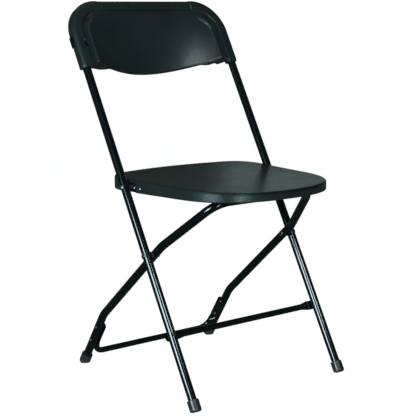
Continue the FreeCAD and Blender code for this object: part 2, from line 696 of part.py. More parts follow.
def seat_bracket(side):
    """The steel plate on the side of the seat that the hinge pin goes through."""
    pivot = frame_point(0, SEAT_PIVOT)
    near = min(side * BRACKET_FACE, side * (BRACKET_FACE + BRACKET_THICKNESS))
    plate = Part.makeBox(BRACKET_THICKNESS, BRACKET_FRONT + BRACKET_REAR, BRACKET_LOW + BRACKET_HIGH,
                         Vector(near, pivot.y - BRACKET_FRONT, pivot.z - BRACKET_LOW))
    corners = [edge for edge in plate.Edges if abs(edge.Length - BRACKET_THICKNESS) < 0.01]
    plate = plate.makeFillet(BRACKET_CORNER, corners)
    inner, outer = BRACKET_FACE - OVERRUN, BRACKET_FACE + OVERRUN
    plate = cut_all(plate, cross_pin(pivot, inner, outer, PIVOT_RADIUS + RUNNING_FIT))
    for center in bracket_rivet_points():
        plate = cut_all(plate, cross_pin(center, inner, outer, RIVET_RADIUS))
    return plate


def seat_bracket_rivets(side):
    """Two rivets through a bracket: one in its pocket, and one through the skirt too."""
    inner = BRACKET_FACE - SKIRT_THICKNESS
    rivets = []
    for center, outer in zip(bracket_rivet_points(), (BRACKET_FACE + BRACKET_THICKNESS, SKIRT_SPOT)):
        start = Vector(side * inner, center.y, center.z)
        rivets.append(rivet(start, X_AXIS * side, outer - inner, RIVET_RADIUS, BRACKET_RIVET_HEAD,
                            BRACKET_RIVET_HEAD_HEIGHT))
    return Part.makeCompound(rivets)


def crossbar_sleeve(side):
    """A plastic sleeve snapped over the crossbar, under a slide rail, and open below."""
    center = crossbar_center()
    start = Vector(side * RAIL_OFFSET - SLEEVE_LENGTH / 2, center.y, center.z)
    sleeve = ring(start, X_AXIS, TUBE_RADIUS, SLEEVE_RADIUS, SLEEVE_LENGTH)
    below = Vector(start.x, center.y - SLEEVE_RADIUS, center.z - SLEEVE_OPENING - SLEEVE_RADIUS)
    return sleeve.cut(Part.makeBox(SLEEVE_LENGTH, 2 * SLEEVE_RADIUS, SLEEVE_RADIUS, below))


def housing_section(start):
    """Section of the back's rim: a channel over the tube, open behind."""
    outer, bore, back, corner = HOUSING_RADIUS, TUBE_RADIUS + HOUSING_PLAY, HOUSING_BACK, HOUSING_CORNER
    diagonal = corner * (1 - math.sqrt(0.5))

    def at(x, y):
        return start + Vector(x, y, 0)

    return Part.Wire([
        Part.LineSegment(at(-outer, back), at(-outer, -outer + corner)).toShape(),
        Part.Arc(at(-outer, -outer + corner), at(-outer + diagonal, -outer + diagonal),
                 at(-outer + corner, -outer)).toShape(),
        Part.LineSegment(at(-outer + corner, -outer), at(outer - corner, -outer)).toShape(),
        Part.Arc(at(outer - corner, -outer), at(outer - diagonal, -outer + diagonal),
                 at(outer, -outer + corner)).toShape(),
        Part.LineSegment(at(outer, -outer + corner), at(outer, back)).toShape(),
        Part.LineSegment(at(outer, back), at(bore, back)).toShape(),
        Part.LineSegment(at(bore, back), at(bore, 0)).toShape(),
        Part.Arc(at(bore, 0), at(0, -bore), at(-bore, 0)).toShape(),
        Part.LineSegment(at(-bore, 0), at(-bore, back)).toShape(),
        Part.LineSegment(at(-bore, back), at(-outer, back)).toShape(),
    ])


def hollow_curve(depth, along, behind):
    """The back's front face at one level: deepest in the middle and even towards the ridges."""
    points = []
    for step in range(-HOLLOW_STEPS, HOLLOW_STEPS + 1):
        share = step / HOLLOW_STEPS
        hollow = depth * math.cos(math.pi / 2 * share)
        points.append(Vector(share * PANEL_RIDGE, hollow - PANEL_FRONT + behind, along))
    curve = Part.BSplineCurve()
    curve.interpolate(points)
    left, right = points[0], points[-1]
    edge = FRONT_HALF - HOUSING_RADIUS + 1
    far_left, far_right = Vector(-edge, left.y, along), Vector(edge, right.y, along)
    return [Part.LineSegment(far_left, left).toShape(), curve.toShape(),
            Part.LineSegment(right, far_right).toShape()], far_left, far_right


def panel_layer(front, back):
    """A layer of the back between two distances behind its front face."""
    sections = []
    for depth, along in ((PANEL_HOLLOW, BACK_BOTTOM), (PANEL_HOLLOW_TOP, FRAME_TOP)):
        near, near_left, near_right = hollow_curve(depth, along, front)
        far, far_left, far_right = hollow_curve(depth, along, back)
        closing = [Part.LineSegment(near_right, far_right).toShape()]
        closing += list(reversed(far))
        closing.append(Part.LineSegment(far_left, near_left).toShape())
        sections.append(Part.Wire(Part.__sortEdges__(near + closing)))
    return Part.makeLoft(sections, True, True)


def frame_outline(y, low):
    """The front frame's path at a distance behind it, from a height on one leg to the other leg."""
    return bent_path([
        Vector(-FRONT_HALF, y, low), Vector(-FRONT_HALF, y, FRAME_TOP),
        Vector(FRONT_HALF, y, FRAME_TOP), Vector(FRONT_HALF, y, low),
    ], [FRAME_BEND] * 2)


def backrest_shell():
    """The moulded back: a rim that is a channel over the frame, and a hollowed panel."""
    path = frame_outline(0, HOUSING_BOTTOM)
    rim = path.makePipeShell([housing_section(Vector(-FRONT_HALF, 0, HOUSING_BOTTOM))], True, False)
    ahead_of_all, low = -PANEL_HOLLOW - OVERRUN, BACK_BOTTOM - OVERRUN
    closing = Part.LineSegment(Vector(FRONT_HALF, ahead_of_all, low), Vector(-FRONT_HALF, ahead_of_all, low))
    inside = Part.Wire(frame_outline(ahead_of_all, low).Edges + [closing.toShape()])
    region = Part.Face(inside).extrude(Y_AXIS * (-2 * ahead_of_all))
    bore = swept_rod(path, TUBE_RADIUS + HOUSING_PLAY)
    panel = panel_layer(0, PANEL_THICKNESS)
    shell = rim.fuse(panel.common(region).cut(bore))
    ahead = panel_layer(ahead_of_all, 0)
    inner = FRONT_HALF - HOUSING_RADIUS
    low, high = BACK_BOTTOM, BACK_BOTTOM + GUSSET_THICKNESS
    for side in (-1, 1):
        floor = side_box(side, GUSSET_START, inner + 1, -HOUSING_RADIUS, GUSSET_BACK, low, high)
        web = side_box(side, inner, inner + GUSSET_THICKNESS, 0, GUSSET_BACK, low, low + GUSSET_WEB_HEIGHT)
        shell = shell.fuse(floor.fuse(web).cut(ahead).cut(bore))
    return lean(shell.removeSplitter())


def backrest_clip(side):
    """A clip over the back of the rim that keeps the tube in its channel."""
    inner, outer = FRONT_HALF - HOUSING_RADIUS, FRONT_HALF + HOUSING_RADIUS
    low, high = CLIP_MIDDLE - CLIP_WIDTH / 2, CLIP_MIDDLE + CLIP_WIDTH / 2
    back = HOUSING_BACK + CLIP_THICKNESS
    clip = side_box(side, inner - CLIP_THICKNESS, outer + CLIP_THICKNESS, HOUSING_BACK, back, low, high)
    clip = clip.fuse([
        side_box(side, inner - CLIP_THICKNESS, inner, CLIP_INNER_LEG, HOUSING_BACK, low, high),
        side_box(side, outer, outer + CLIP_THICKNESS, -CLIP_OUTER_LEG, HOUSING_BACK, low, high),
    ])
    screw = Vector(side * FRONT_HALF, 0, CLIP_MIDDLE)
    return lean(clip.cut(Part.makeCylinder(RIVET_RADIUS, OVERRUN, screw, Y_AXIS)).removeSplitter())


def backrest_screw(side):
    """The screw through a clip into the tube."""
    start = Vector(side * FRONT_HALF, TUBE_RADIUS - TUBE_WALL - SCREW_REACH, CLIP_MIDDLE)
    face = HOUSING_BACK + CLIP_THICKNESS
    shank = Part.makeCylinder(RIVET_RADIUS, face - start.y, start, Y_AXIS)
    head = Part.makeCylinder(RIVET_HEAD, SCREW_HEAD_HEIGHT, Vector(start.x, face, start.z), Y_AXIS)
    rim = [edge for edge in head.Edges if edge.CenterOfMass.y > face + SCREW_HEAD_HEIGHT - 0.01]
    return lean(shank.fuse(head.makeFillet(SCREW_HEAD_HEIGHT / 2, rim)))


def build():
    """Every sub-part by its name."""
    rear_foot = lower_leg_point(0, 0)
    parts = {
        "front_frame_tube": front_frame(),
        "front_stretcher": front_stretcher(),
        "front_stretcher_rivets": front_stretcher_rivets(),
        "backrest_shell": backrest_shell(),
        "rear_leg_tube": rear_frame(),
        "rear_stretcher": rear_stretcher(),
        "rear_stretcher_rivets": rear_stretcher_rivets(),
        "seat_shell": seat_shell(),
    }
    for name, side in (("left", -1), ("right", 1)):
        parts["front_foot_" + name] = foot_cap(side * FRONT_HALF, FRONT_FEET_Y, -LEAN)
        parts["rear_foot_" + name] = foot_cap(side * REAR_HALF, rear_foot.y, 90 - REAR_FOOT_SLOPE)
        parts["crossing_rivet_" + name] = crossing_rivet(side)
        parts["crossing_washer_" + name] = crossing_washer(side)
        parts["seat_hinge_pin_" + name] = seat_hinge_pin(side)
        parts["seat_hinge_spacer_" + name] = seat_hinge_spacer(side)
        parts["seat_bracket_" + name] = seat_bracket(side)
        parts["seat_bracket_rivets_" + name] = seat_bracket_rivets(side)
        parts["slide_rail_" + name] = slide_rail(side)
        parts["slide_rail_screws_" + name] = slide_rail_screws(side)
        parts["crossbar_sleeve_" + name] = crossbar_sleeve(side)
        parts["backrest_clip_" + name] = backrest_clip(side)
        parts["backrest_screw_" + name] = backrest_screw(side)
    return parts


os.makedirs("parts", exist_ok=True)
for node, shape in build().items():
    shape.exportStep("parts/" + node + ".step")
    box = shape.BoundBox
    print(node, "solids", len(shape.Solids), "valid", shape.isValid(), "volume", round(shape.Volume),
          "box", [round(v, 1) for v in (box.XMin, box.YMin, box.ZMin, box.XMax, box.YMax, box.ZMax)])
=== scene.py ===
"""Looks of a folding chair: its moulded seat and back, its finishes, the floor, the lights and the camera.

Metres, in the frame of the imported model: +Z is up, the sitter faces -Y, the origin is on the floor.
"""

import bpy
import json
import math
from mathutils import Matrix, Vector, geometry


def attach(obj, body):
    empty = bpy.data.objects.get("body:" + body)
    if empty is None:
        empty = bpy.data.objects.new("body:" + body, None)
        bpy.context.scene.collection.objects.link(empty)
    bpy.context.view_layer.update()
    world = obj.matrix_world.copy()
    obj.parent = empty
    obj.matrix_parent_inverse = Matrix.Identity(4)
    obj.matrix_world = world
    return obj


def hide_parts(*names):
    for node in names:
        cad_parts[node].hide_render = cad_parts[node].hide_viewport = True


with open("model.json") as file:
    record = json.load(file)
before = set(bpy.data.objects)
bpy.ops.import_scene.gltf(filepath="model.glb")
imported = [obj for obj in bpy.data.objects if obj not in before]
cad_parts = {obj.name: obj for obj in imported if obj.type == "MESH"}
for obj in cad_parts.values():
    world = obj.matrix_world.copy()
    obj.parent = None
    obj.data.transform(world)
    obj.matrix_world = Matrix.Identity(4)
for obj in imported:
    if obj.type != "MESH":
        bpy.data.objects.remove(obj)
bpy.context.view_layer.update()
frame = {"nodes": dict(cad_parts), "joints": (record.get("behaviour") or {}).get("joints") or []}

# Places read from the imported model
JOINTS = {joint["name"]: Vector(joint["pos_m"]) for joint in frame["joints"]}
SEAT_HINGE = JOINTS["seat_fold"]
CROSSING = JOINTS["rear_leg_fold"]
TUBE_AXIS = (SEAT_HINGE - CROSSING).normalized()
TUBE_FORWARD = Vector((0, -TUBE_AXIS.z, TUBE_AXIS.y))
TUBE_FOOT = CROSSING - TUBE_AXIS * (CROSSING.z / TUBE_AXIS.z)

# Back: along the front frame from the floor, and ahead of the tube's axis
TUBE_HALF = 0.2157
BEND_CENTRE = (0.1437, 0.886)
RIM_RADIUS = 0.0848
RIM_HALF_WIDTH = BEND_CENTRE[0] + RIM_RADIUS
RIM_FACE = 0.0122
RIM_FILLET = 0.0085
RIM_BACK = -0.0096
RIM_EDGE = 0.0006           # the bevel on the rim's rear edges
BORE = 0.0097               # radius of the channel that holds the tube
HOUSING_INNER = 0.0256      # width of the rim where it houses the tube
HOUSING_WALL = 0.2029       # inner wall of a housing, from the middle of the chair

# Back: distances inside its outline, and levels ahead of the tube's axis
STEP_OUTER = 0.0245
STEP_INNER = 0.0285
STRIP_END = 0.0415
STRIP_LEVEL = 0.0098
RIDGE_MIDDLE = 0.0448
RIDGE_CREST = 0.0008        # half of the flat on the ridge
RIDGE_END = 0.0540
RIDGE_LEVEL = 0.0116
CORNER_GROOVE = 0.0012
CORNER_LEVEL = 0.0088
GROOVE_FLOOR = 0.002        # width of the groove's flat floor
SHALLOW_SIDE = 0.15         # share of the relief on the sitter's left-hand side
CORNER_TURNS = (15, 60)     # the groove deepens between these turns round the corner, in degrees
SIDE_TURNS = (48, 86)       # and the ridge ends between these
MOULD_EDGE = 0.0016         # run of a crisp moulded edge
BAND_END = 0.0200
BAND_MARK = 0.138           # the band is a step lower between its marks
BAND_STEP = 0.0024
BAND_RUN = 0.0120           # the slope below the band ends this far below it
BAND_END_RUN = 0.006        # added at the band's ends, over the next distance
BAND_END_WIDTH = 0.03

# Back: the window over the clip
WINDOW_ACROSS = (0.1955, 0.2055, 0.2145)
WINDOW_ALONG = (0.846, 0.872)
WINDOW_DEPTH = 0.0024
SLOT_DEPTH = 0.009
SLOT_PLACE = 0.861
SLOT_TIP = 0.0016           # half of the slot's width at its point
SLOT_FLARE = 0.55
SLOT_EDGE = 0.0012

# Back: the hollowed panel, its lower edge and the gussets behind it
PANEL_RIDGE = 0.184
PANEL_FRONT = 0.0108
PANEL_WALL = 0.0035
HOLLOW_LOW = 0.071
HOLLOW_TOP = 0.004
HOLLOW_END = 0.958
BACK_LOW = 0.810
LIP_ROLL = 0.0016
LIP_HEIGHT = 0.0034
LIP_START = 0.160           # the lower edge rises from here to the ridge
LIP_RISE = 0.004
STRIP_START = 0.185
STRIP_PLACE = 0.190
STRIP_RISE = 0.001
HOUSING_PLACE = 0.205
HOUSING_DROP = 0.006
LOW_EDGE_HEIGHT = 0.0028
GUSSET_START = 0.126
GUSSET_FULL = 0.150
GUSSET_END = 0.190
GUSSET_BACK = -0.025

# Back: how finely it is drawn
BACK_STEP = 0.0016
BACK_ROWS = 96
END_SHARE = 0.02            # the part of a column by the lower edge with rows close together
REAR_COLUMNS = 60
REAR_ROWS = 30
RIM_TURNS = 18
ROUND_TURN = 15             # degrees between points round a small curve

# Seat
SEAT_HALF = 0.203
DISH_START = -0.1194        # the pan is level ahead of this
PAN_MIDDLE = 0.4595
PAN_SIDE_RISE = 0.0065
PAN_REAR_RISE = 0.0055
PAN_WALL = 0.004
SKIRT_WALL = 0.0035
SKIRT_SEAM = 0.0004         # the skirt starts this far below the level of the pan
SKIRT_TOP = 0.002           # inside, it ends this far below the pan's underside
SKIRT_CORNER = 0.0015
RIM_ROUND = 0.0055
SKIRT_LOW_FRONT = 0.4405
SKIRT_LOW_REAR = 0.4365
SIDE_PLACE = 0.15           # beyond this the outline is one of the seat's sides
POCKET_WALL = 0.197
POCKET_AHEAD = 0.022
POCKET_BEHIND = 0.016
SPOT_AHEAD = 0.034
SPOT_HALF = 0.0046
SPOT_FACE = 0.2009
SPOT_HEIGHT = 0.4479
SPOT_EDGE = 0.0002
RIB_LOW = 0.4496
RIB_HALF = 0.0014
RIB_DRAFT = 0.8             # share of a rib's width that is left at its lower edge
RIB_LAP = 0.001             # the ribs reach this far into the pan
RIB_RAIL_ENDS = (0.0532, 0.0668)
RIBS_ALONG = (-0.150, -0.105, 0.0, 0.105, 0.150)
RIBS_ACROSS = (-0.1869, -0.0969, 0.0581, 0.1131)
RIB_DISH_REAR = 0.1696      # the rear of the dish, as the ribs take it

# Seat: how finely it is drawn
OUTLINE_POINTS = 300
OUTLINE_ROUNDS = 3          # times that the outline is smoothed
OUTLINE_NEAR = 0.005        # outline points this close to a rib give its ends
CORNER_SHARE = 0.06         # of a segment, from a pocket's corner to the point on either side of it
PAN_STEPS = 30
UNDER_STEPS = 20
ROUND_STEPS = 6
RIB_STEPS_ALONG = 16
RIB_STEPS_ACROSS = 6
SEAT_SHARP = 40.0           # degrees beyond which an edge is drawn sharp

# Studio
FLOOR_FLAT = 8.0
FLOOR_CURVE = 5.0           # the floor curves up over this distance
FLOOR_RIM = 6.0             # to this height
FLOOR_STEPS = 12
FLOOR_SIDES = 96
FLOOR_GREY = 0.22
FLOOR_GLOW = 0.93
WORLD_COLOUR = (0.76, 1.0, 1.0)
WORLD_ON_CHAIR = 0.07
WORLD_IN_VIEW = 1.0
# Name, place, size, how bright it looks, colour and target
SOFT_BOXES = (
    ("key", (-0.59, -2.40, 1.92), (0.5, 0.4), 34.0, (0.92, 1.0, 0.98), (0.14, 0.15, 0.74)),
    ("low_front", (-0.72, -2.20, 0.25), (0.30, 0.7), 14.0, (0.90, 1.0, 0.97), (-0.1, -0.25, 0.45)),
    ("side", (-2.13, -0.71, 0.85), (0.9, 0.9), 26.0, (0.76, 0.91, 1.0), (0, -0.03, 0.85)),
    ("side_top", (-2.13, -0.71, 1.85), (0.9, 1.1), 0.3, (0.50, 0.84, 1.0), (0, -0.03, 1.85)),
    ("rear", (1.43, 0.85, 0.70), (1.0, 0.16), 1.10, (0.72, 1.0, 0.95), (0.35, -0.35, 0.70)),
    ("top", (0.0, 0.1, 2.8), (2.5, 2.5), 0.25, (0.88, 1.0, 0.99), (0, 0.1, 0)),
)

# Camera
CAMERA_PLACE = (-1.7369, -2.0666, 0.8498)
CAMERA_AZIMUTH = -39.9
CAMERA_ELEVATION = 9.77
CAMERA_LENS = 103.2
CAMERA_SENSOR = 36.0


def smooth(low, high, value):
    """0 below low, 1 above high, and an even turn between them."""
    share = min(1.0, max(0.0, (value - low) / (high - low)))
    return share * share * (3 - 2 * share)


def mix(first, second, share):
    """A number between two numbers."""
    return first + (second - first) * share


def on_frame(x, along, ahead):
    """A point by its place on the leaning front frame."""
    return TUBE_FOOT + Vector((x, 0, 0)) + TUBE_AXIS * along + TUBE_FORWARD * ahead


def new_piece(name, points, faces, material, body, sharp=35.0):
    """A mesh piece that rides on a body and takes its finish from a slot."""
    mesh = bpy.data.meshes.new(name)
    mesh.from_pydata(points, [], faces)
    mesh.validate()
    mesh.shade_smooth()
    mesh.set_sharp_from_angle(angle=math.radians(sharp))
    mesh.materials.append(material)
    piece = bpy.data.objects.new(name, mesh)
    bpy.context.scene.collection.objects.link(piece)
    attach(piece, body)
    return piece


def strip_faces(first, second, count, closed=False):
    """Quads between two rows of points, given the index that each row starts at."""
    faces = []
    for step in range(count if closed else count - 1):
        after = (step + 1) % count
        faces.append((first + step, first + after, second + after, second + step))
    return faces


# Materials ---------------------------------------------------------------------------------------

def shader(name):
    """A new node material, with its Principled shader and a point in metres on the piece."""
    material = bpy.data.materials.new(name)
    material.use_nodes = True
    tree = material.node_tree
    principled = tree.nodes["Principled BSDF"]
    place = tree.nodes.new("ShaderNodeTexCoord").outputs["Object"]
    return material, tree, principled, place


def noise(tree, place, scale, detail=2.0, stretch=None):
    """Noise over a piece; stretch draws it out along an axis."""
    if stretch:
        mapping = tree.nodes.new("ShaderNodeMapping")
        mapping.inputs["Scale"].default_value = stretch
        tree.links.new(place, mapping.inputs["Vector"])
        place = mapping.outputs["Vector"]
    node = tree.nodes.new("ShaderNodeTexNoise")
    node.inputs["Scale"].default_value = scale
    node.inputs["Detail"].default_value = detail
    tree.links.new(place, node.inputs["Vector"])
    return node.outputs["Fac"]


def ranged(tree, value, low, high, from_low=0.3, from_high=0.7):
    """A value spread over a new range."""
    node = tree.nodes.new("ShaderNodeMapRange")
    node.inputs["From Min"].default_value = from_low
    node.inputs["From Max"].default_value = from_high
    node.inputs["To Min"].default_value = low
    node.inputs["To Max"].default_value = high
    tree.links.new(value, node.inputs["Value"])
    return node.outputs["Result"]


def blended(tree, share, first, second):
    """A colour between two colours."""
    node = tree.nodes.new("ShaderNodeMix")
    node.data_type = "RGBA"
    for socket, colour in ((node.inputs["A"], first), (node.inputs["B"], second)):
        if isinstance(colour, tuple):
            socket.default_value = (*colour, 1)
        else:
            tree.links.new(colour, socket)
    tree.links.new(share, node.inputs["Factor"])
    return node.outputs["Result"]


def bumped(tree, height, distance, strength=1.0, under=None):
    """A bump of a real height, over another bump if one is given."""
    node = tree.nodes.new("ShaderNodeBump")
    node.inputs["Distance"].default_value = distance
    node.inputs["Strength"].default_value = strength
    tree.links.new(height, node.inputs["Height"])
    if under:
        tree.links.new(under, node.inputs["Normal"])
    return node.outputs["Normal"]


def low_down(tree, place, height):
    """1 at the floor and 0 above a height."""
    split = tree.nodes.new("ShaderNodeSeparateXYZ")
    tree.links.new(place, split.inputs["Vector"])
    return ranged(tree, split.outputs["Z"], 1.0, 0.0, 0.0, height)


def times(tree, first, second):
    """The product of two linked numbers."""
    node = tree.nodes.new("ShaderNodeMath")
    node.operation = "MULTIPLY"
    tree.links.new(first, node.inputs[0])
    tree.links.new(second, node.inputs[1])
    return node.outputs["Value"]


def blended_value(tree, share, first, second):
    """A number between a linked number and a fixed one."""
    node = tree.nodes.new("ShaderNodeMix")
    node.data_type = "FLOAT"
    tree.links.new(share, node.inputs["Factor"])
    tree.links.new(first, node.inputs["A"])
    node.inputs["B"].default_value = second
    return node.outputs["Result"]


def finish(tree, principled, colour, roughness, normal):
    """Link a look's colour, roughness and bump to its shader."""
    tree.links.new(colour, principled.inputs["Base Color"])
    tree.links.new(roughness, principled.inputs["Roughness"])
    tree.links.new(normal, principled.inputs["Normal"])


def moulded_plastic():
    """Greenish-black polypropylene with a fine pebbled grain."""
    material, tree, principled, place = shader("moulded_plastic_look")
    patches = ranged(tree, noise(tree, place, scale=14, detail=3), 0, 1)
    colour = blended(tree, patches, (0.0036, 0.0072, 0.0070), (0.0056, 0.0098, 0.0095))
    worn = ranged(tree, noise(tree, place, scale=22, detail=4), 0.31, 0.36)
    cells = tree.nodes.new("ShaderNodeTexVoronoi")
    cells.feature = "SMOOTH_F1"
    cells.inputs["Scale"].default_value = 520
    tree.links.new(place, cells.inputs["Vector"])
    pebbles = bumped(tree, cells.outputs["Distance"], distance=0.00030, strength=0.6)
    grit = noise(tree, place, scale=260, detail=3)
    grain = bumped(tree, grit, distance=0.00040, strength=0.6, under=pebbles)
    finish(tree, principled, colour, worn, grain)
    principled.inputs["Specular Tint"].default_value = (0.80, 0.98, 0.98, 1)
    return material


def frame_paint():
    """Gloss black powder coat: a slight orange peel, dust near the floor and fine scuffs along the tubes."""
    material, tree, principled, place = shader("frame_paint_look")
    specks = ranged(tree, noise(tree, place, scale=130, detail=5), 0, 0.5, 0.5, 0.8)
    dust = times(tree, low_down(tree, place, 0.16), specks)
    colour = blended(tree, dust, (0.0010, 0.0018, 0.0020), (0.012, 0.012, 0.011))
    streaks = noise(tree, place, scale=60, detail=6, stretch=(3, 3, 0.5))
    scuffs = ranged(tree, streaks, 0, 1, 0.66, 0.80)
    gloss = ranged(tree, noise(tree, place, scale=35, detail=3), 0.10, 0.13)
    worn = blended_value(tree, scuffs, gloss, 0.17)
    peel = bumped(tree, noise(tree, place, scale=260, detail=2), distance=0.000005, strength=0.5)
    finish(tree, principled, colour, worn, peel)
    principled.inputs["Specular Tint"].default_value = (0.84, 0.95, 1.0, 1)
    return material


def foot_plastic():
    """Dark grey vinyl, scuffed and dusty where it meets the floor."""
    material, tree, principled, place = shader("foot_plastic_look")
    patches = ranged(tree, noise(tree, place, scale=60, detail=3), 0, 1)
    clean = blended(tree, patches, (0.006, 0.009, 0.010), (0.010, 0.014, 0.016))
    specks = ranged(tree, noise(tree, place, scale=210, detail=5), 0.2, 1)
    scuffed = times(tree, low_down(tree, place, 0.012), specks)
    colour = blended(tree, scuffed, clean, (0.040, 0.040, 0.038))
    worn = ranged(tree, noise(tree, place, scale=120, detail=4), 0.27, 0.36)
    grain = bumped(tree, noise(tree, place, scale=900, detail=3), distance=0.0001, strength=0.5)
    finish(tree, principled, colour, worn, grain)
    return material


def slide_plastic():
    """Dark nylon, polished where it rubs."""
    material, tree, principled, place = shader("slide_plastic_look")
    patches = ranged(tree, noise(tree, place, scale=45, detail=3), 0, 1)
    colour = blended(tree, patches, (0.012, 0.013, 0.013), (0.020, 0.021, 0.021))
    rubbed = noise(tree, place, scale=70, detail=4, stretch=(1, 0.15, 1))
    worn = ranged(tree, rubbed, 0.28, 0.48)
    finish(tree, principled, colour, worn, bumped(tree, rubbed, distance=0.00008, strength=0.5))
    return material


def plated_steel():
    """Bright zinc plate with fine mottling."""
    material, tree, principled, place = shader("plated_steel_look")
    patches = ranged(tree, noise(tree, place, scale=300, detail=4), 0, 1)
    colour = blended(tree, patches, (0.15, 0.17, 0.18), (0.24, 0.26, 0.27))
    worn = ranged(tree, noise(tree, place, scale=500, detail=3), 0.30, 0.44)
    grain = bumped(tree, noise(tree, place, scale=1200, detail=2), distance=0.00004, strength=0.5)
    finish(tree, principled, colour, worn, grain)
    principled.inputs["Metallic"].default_value = 1.0
    return material


def rivet_paint():
    """Black paint over a steel rivet, rubbed dull in places."""
    material, tree, principled, place = shader("rivet_paint_look")
    rubbed = ranged(tree, noise(tree, place, scale=420, detail=5), 0, 1, 0.52, 0.66)
    colour = blended(tree, rubbed, (0.006, 0.007, 0.008), (0.04, 0.04, 0.039))
    worn = ranged(tree, rubbed, 0.30, 0.46, 0, 1)
    grain = bumped(tree, noise(tree, place, scale=700, detail=2), distance=0.00005, strength=0.5)
    finish(tree, principled, colour, worn, grain)
    return material


LOOKS = {
    "moulded_plastic": moulded_plastic(),
    "frame_paint": frame_paint(),
    "foot_plastic": foot_plastic(),
    "slide_plastic": slide_plastic(),
    "plated_steel": plated_steel(),
    "rivet_paint": rivet_paint(),
}


def finish_nodes():
    """Give every CAD node its finish, by the name of its slot."""
    for node in frame["nodes"].values():
        for held in node.material_slots:
            held.material = LOOKS[held.material.name]


# Back --------------------------------------------------------------------------------------------

def rim_depth(x, along):
    """Distance inside the rounded outline of the back."""
    out_x, out_along = abs(x) - BEND_CENTRE[0], along - BEND_CENTRE[1]
    return RIM_RADIUS - math.hypot(max(out_x, 0), max(out_along, 0)) - min(max(out_x, out_along), 0)


def panel_level(x, along):
    """The hollowed panel: deepest in the middle of its lower edge, and nearly flat at the top."""
    share = (along - BACK_LOW) / (HOLLOW_END - BACK_LOW)
    hollow = mix(HOLLOW_LOW, HOLLOW_TOP, share)
    return PANEL_FRONT - hollow * math.cos(math.pi / 2 * min(1.0, abs(x) / PANEL_RIDGE))


def between(low, high, edge, value):
    """1 between two places, with a short run up to the low one and another beyond the high one."""
    return smooth(low - edge, low, value) * (1 - smooth(high, high + edge, value))


def window_depth(x, along):
    """The window in the sitter's right-hand housing: a shallow pocket, and a deep slot beside it."""
    if x > 0:
        return 0.0
    side = abs(x)
    point, waist, outer = WINDOW_ACROSS
    low, high = WINDOW_ALONG
    share = between(low + MOULD_EDGE, high - MOULD_EDGE, MOULD_EDGE, along)
    shallow = WINDOW_DEPTH * share * between(waist, outer, MOULD_EDGE, side)
    half = SLOT_TIP + SLOT_FLARE * max(0.0, side - point)
    across = smooth(point, point + MOULD_EDGE, side) * (1 - smooth(waist, waist + SLOT_EDGE, side))
    inside = 1 - smooth(half, half + MOULD_EDGE, abs(along - SLOT_PLACE))
    return max(shallow, SLOT_DEPTH * across * inside)


def side_level(x, depth, corner, panel):
    """The levels across a side of the back: the rim, the sunk strip, the ridge and the panel."""
    relief = 1.0 if x < 0 else SHALLOW_SIDE
    groove = mix(CORNER_GROOVE, CORNER_LEVEL, smooth(STEP_INNER + GROOVE_FLOOR, RIDGE_MIDDLE, depth))
    strip = mix(PANEL_FRONT, mix(STRIP_LEVEL, groove, corner), relief)
    ridge = mix(PANEL_FRONT, mix(RIDGE_LEVEL, CORNER_LEVEL, corner), relief)
    level = mix(RIM_FACE, strip, smooth(STEP_OUTER, STEP_INNER, depth))
    level = mix(level, ridge, smooth(STRIP_END, RIDGE_MIDDLE - RIDGE_CREST, depth))
    return mix(level, panel, smooth(RIDGE_MIDDLE + RIDGE_CREST, RIDGE_END, depth))


def top_level(x, depth, panel):
    """The levels down from the top of the back: the band, a slope and the panel."""
    band = RIM_FACE - BAND_STEP * (1 - smooth(BAND_MARK - MOULD_EDGE, BAND_MARK, abs(x)))
    run = BAND_RUN + BAND_END_RUN * smooth(BAND_MARK, BAND_MARK + BAND_END_WIDTH, abs(x))
    return mix(band, panel, smooth(BAND_END - run / 2, BAND_END + run, depth))


def front_level(x, along):
    """How far the front skin stands ahead of the tube's axis."""
    depth = rim_depth(x, along)
    panel = panel_level(x, along)
    turn = math.degrees(math.atan2(along - BEND_CENTRE[1], max(abs(x) - BEND_CENTRE[0], 1e-6)))
    side = side_level(x, depth, smooth(*CORNER_TURNS, turn), panel)
    beside = 1 - smooth(*SIDE_TURNS, turn)
    level = mix(top_level(x, depth, panel), side, beside) - window_depth(x, along)
    level -= LIP_ROLL * (1 - smooth(0, LIP_HEIGHT, along - back_low_edge(x)))
    if depth < RIM_FILLET:
        level -= RIM_FILLET - math.sqrt(max(0.0, RIM_FILLET ** 2 - (RIM_FILLET - max(depth, 0)) ** 2))
    return level


def back_low_edge(x):
    """The back's lower edge: lowest on the housings, with a lip at the ridges."""
    side = abs(x)
    edge = mix(BACK_LOW, BACK_LOW + LIP_RISE, smooth(LIP_START, PANEL_RIDGE, side))
    edge = mix(edge, BACK_LOW + STRIP_RISE, smooth(STRIP_START, STRIP_PLACE, side))
    return mix(edge, BACK_LOW - HOUSING_DROP, smooth(STRIP_PLACE, HOUSING_PLACE, side))


def outline_top(x, inset=0.0):
    """The height of the back's outline above a place across it."""
    radius = RIM_RADIUS - inset
    out = max(0.0, abs(x) - BEND_CENTRE[0])
    return BEND_CENTRE[1] + math.sqrt(max(0.0, radius ** 2 - out ** 2))


def across_places(half, step, fillet):
    """Places across the back, close together round the edge."""
    edge = [half - fillet * (1 - math.sin(math.radians(turn))) for turn in range(0, 90, ROUND_TURN)]
    count = round((half - fillet) / step)
    inner = [(half - fillet) * index / count for index in range(1, count + 1)]
    positive = inner + edge[1:] + [half]
    positive = sorted(set(round(value, 6) for value in positive))
    return [-value for value in reversed(positive)] + [0.0] + positive


def along_shares(count):
    """Shares of the way up a column, close together near both ends."""
    low = [END_SHARE * step / 5 for step in range(5)]
    above = [1 - (1 - step / count) ** 1.5 for step in range(count + 1)]
    return low + [END_SHARE + (1 - END_SHARE) * share for share in above]


